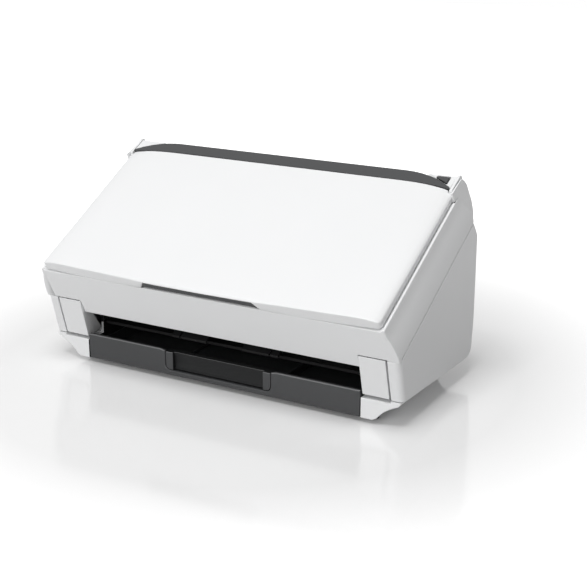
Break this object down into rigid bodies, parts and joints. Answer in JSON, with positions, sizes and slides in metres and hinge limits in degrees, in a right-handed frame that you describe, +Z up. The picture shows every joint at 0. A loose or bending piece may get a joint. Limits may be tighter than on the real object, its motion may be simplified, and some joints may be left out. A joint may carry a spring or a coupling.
{
  "type": "desktop document scanner",
  "caption": "Sheet-fed desktop scanner with a swing-open front unit, a hinged input tray as its lid and a two-stage sliding output tray.",
  "frame": {"origin": "on the table under the middle of the machine, at the bottom of its bounding box", "axes": "+X to the right seen from the front, -Y to the front where the output tray slides out, +Z up"},
  "size_m": [0.297, 0.1515, 0.154],
  "materials": {
    "white": "satin white moulded plastic",
    "light_grey": "light grey moulded plastic",
    "dark": "dark grey moulded plastic",
    "black": "black moulded plastic",
    "frame": "charcoal moulded plastic",
    "gear": "off-white acetal",
    "rubber": "dark grey rubber",
    "button": "satin grey plastic",
    "board": "green circuit board",
    "lens": "dark clear window",
    "steel": "bright drawn steel"
  },
  "bodies": {
    "base": {"base_casing": "white", "base_pan": "white", "foot_front_left": "rubber", "foot_front_right": "rubber", "foot_rear_left": "rubber", "foot_rear_right": "rubber", "swing_pin_left": "steel", "swing_pin_right": "steel", "side_frame_left": "frame", "side_frame_right": "frame", "rear_guide": "black", "lower_sensor": "frame", "lower_sensor_glass": "lens", "motor": "steel", "main_board": "board", "usb_port": "steel", "power_jack": "black"},
    "front_unit": {"cover_shell": "white", "top_panel": "light_grey", "hump_cover": "white", "upper_frame": "frame", "leg_cover_left": "white", "leg_cover_right": "white", "front_guide": "black", "upper_sensor": "frame", "upper_sensor_glass": "lens", "status_lens": "lens"},
    "feed_roller": {"feed_shaft": "steel", "feed_gear": "gear", "feed_tyre": "rubber"},
    "drive_roller": {"drive_shaft": "steel", "drive_gear": "gear", "drive_tyre_left": "rubber", "drive_tyre_right": "rubber"},
    "exit_roller": {"exit_shaft": "steel", "exit_gear": "gear", "exit_tyre_left": "rubber", "exit_tyre_right": "rubber"},
    "upper_idler": {"upper_idler_gear": "gear"},
    "lower_idler": {"lower_idler_gear": "gear"},
    "pinion": {"motor_pinion": "gear"},
    "flag": {"paper_flag": "frame"},
    "drive_idler_l": {"drive_idler_left": "light_grey"},
    "drive_idler_r": {"drive_idler_right": "light_grey"},
    "exit_idler_l": {"exit_idler_left": "light_grey"},
    "exit_idler_r": {"exit_idler_right": "light_grey"},
    "separator": {"separation_arm": "frame", "separation_pad": "rubber"},
    "latch": {"release_lever": "dark"},
    "button_scan": {"scan_button": "button"},
    "button_power": {"power_button": "button"},
    "input_tray": {"input_tray_lid": "white", "input_tray_panel": "dark"},
    "extension": {"tray_extension": "dark"},
    "left_guide": {"guide_left": "light_grey"},
    "right_guide": {"guide_right": "light_grey"},
    "guide_gear": {"guide_pinion": "gear"},
    "drawer": {"output_tray": "dark"},
    "drawer_extension": {"output_extension": "dark"},
    "stopper": {"stopper_flap": "dark"}
  },
  "joints": [
    {"name": "front_unit_swing", "type": "hinge", "parent": "base", "child": "front_unit", "pos_m": [0, -0.0435, 0.028], "axis": [1, 0, 0], "range_deg": [0, 55]},
    {"name": "input_tray_hinge", "type": "hinge", "parent": "front_unit", "child": "input_tray", "pos_m": [0, 0.05812, 0.15094], "axis": [-1, 0, 0], "range_deg": [0, 155]},
    {"name": "tray_extension_slide", "type": "slide", "parent": "input_tray", "child": "extension", "axis": [0, -0.8807, -0.4737], "range_m": [0, 0.085]},
    {"name": "left_guide_slide", "type": "slide", "parent": "input_tray", "child": "left_guide", "axis": [1, 0, 0], "range_m": [0, 0.075]},
    {"name": "right_guide_slide", "type": "slide", "parent": "input_tray", "child": "right_guide", "axis": [-1, 0, 0], "range_m": [0, 0.075]},
    {"name": "guide_gear_spin", "type": "hinge", "parent": "input_tray", "child": "guide_gear", "pos_m": [0, 0.02195, 0.12888], "axis": [0, -0.4737, 0.8807], "range_deg": [0, 900]},
    {"name": "output_tray_slide", "type": "slide", "parent": "base", "child": "drawer", "axis": [0, -1, 0], "range_m": [0, 0.085]},
    {"name": "output_extension_slide", "type": "slide", "parent": "drawer", "child": "drawer_extension", "axis": [0, -1, 0], "range_m": [0, 0.08]},
    {"name": "stopper_flap_hinge", "type": "hinge", "parent": "drawer_extension", "child": "stopper", "pos_m": [0, -0.0416, 0.0115], "axis": [1, 0, 0], "range_deg": [0, 90]},
    {"name": "drive_roller_spin", "type": "hinge", "parent": "base", "child": "drive_roller", "pos_m": [0, 0.0108, 0.07988], "axis": [1, 0, 0], "continuous": true},
    {"name": "feed_roller_spin", "type": "hinge", "parent": "base", "child": "feed_roller", "pos_m": [0, 0.02695, 0.09525], "axis": [1, 0, 0], "continuous": true},
    {"name": "exit_roller_spin", "type": "hinge", "parent": "base", "child": "exit_roller", "pos_m": [0, -0.01027, 0.05193], "axis": [1, 0, 0], "continuous": true},
    {"name": "upper_idler_spin", "type": "hinge", "parent": "base", "child": "upper_idler", "pos_m": [0, 0.02678, 0.07926], "axis": [1, 0, 0], "continuous": true},
    {"name": "lower_idler_spin", "type": "hinge", "parent": "base", "child": "lower_idler", "pos_m": [0, 0.00026, 0.06591], "axis": [1, 0, 0], "continuous": true},
    {"name": "motor_pinion_spin", "type": "hinge", "parent": "base", "child": "pinion", "pos_m": [0, 0.03866, 0.07184], "axis": [1, 0, 0], "continuous": true},
    {"name": "paper_flag_hinge", "type": "hinge", "parent": "base", "child": "flag", "pos_m": [0.076, 0.03315, 0.11062], "axis": [-1, 0, 0], "range_deg": [0, 30], "stiffness_Nm_per_rad": 0.0008},
    {"name": "drive_idler_left_spin", "type": "hinge", "parent": "front_unit", "child": "drive_idler_l", "pos_m": [-0.052, 0.00017, 0.08789], "axis": [1, 0, 0], "continuous": true},
    {"name": "drive_idler_right_spin", "type": "hinge", "parent": "front_unit", "child": "drive_idler_r", "pos_m": [0.052, 0.00017, 0.08789], "axis": [1, 0, 0], "continuous": true},
    {"name": "exit_idler_left_spin", "type": "hinge", "parent": "front_unit", "child": "exit_idler_l", "pos_m": [-0.052, -0.02089, 0.05993], "axis": [1, 0, 0], "continuous": true},
    {"name": "exit_idler_right_spin", "type": "hinge", "parent": "front_unit", "child": "exit_idler_r", "pos_m": [0.052, -0.02089, 0.05993], "axis": [1, 0, 0], "continuous": true},
    {"name": "separation_arm_hinge", "type": "hinge", "parent": "front_unit", "child": "separator", "pos_m": [0, 0.00563, 0.09504], "axis": [1, 0, 0], "range_deg": [0, 4], "stiffness_Nm_per_rad": 0.05, "springref_deg": -1.72},
    {"name": "release_lever_hinge", "type": "hinge", "parent": "front_unit", "child": "latch", "pos_m": [0.128, 0.063, 0.133], "axis": [-1, 0, 0], "range_deg": [0, 5], "stiffness_Nm_per_rad": 0.2, "springref_deg": -2.86},
    {"name": "scan_button_press", "type": "slide", "parent": "front_unit", "child": "button_scan", "axis": [0, 0.4737, -0.8807], "range_m": [0, 0.0009], "stiffness_N_per_m": 150, "springref_m": -0.0003},
    {"name": "power_button_press", "type": "slide", "parent": "front_unit", "child": "button_power", "axis": [0, 0.4737, -0.8807], "range_m": [0, 0.0009], "stiffness_N_per_m": 150, "springref_m": -0.0003}
  ],
  "couplings": [
    {"joint": "right_guide_slide", "follows": "left_guide_slide", "ratio": 1},
    {"joint": "guide_gear_spin", "follows": "left_guide_slide", "rad_per_m": 208.33},
    {"joint": "feed_roller_spin", "follows": "drive_roller_spin", "ratio": 1},
    {"joint": "exit_roller_spin", "follows": "drive_roller_spin", "ratio": 1},
    {"joint": "upper_idler_spin", "follows": "drive_roller_spin", "ratio": -1},
    {"joint": "lower_idler_spin", "follows": "drive_roller_spin", "ratio": -0.8421},
    {"joint": "motor_pinion_spin", "follows": "drive_roller_spin", "ratio": 1.3333}
  ]
}
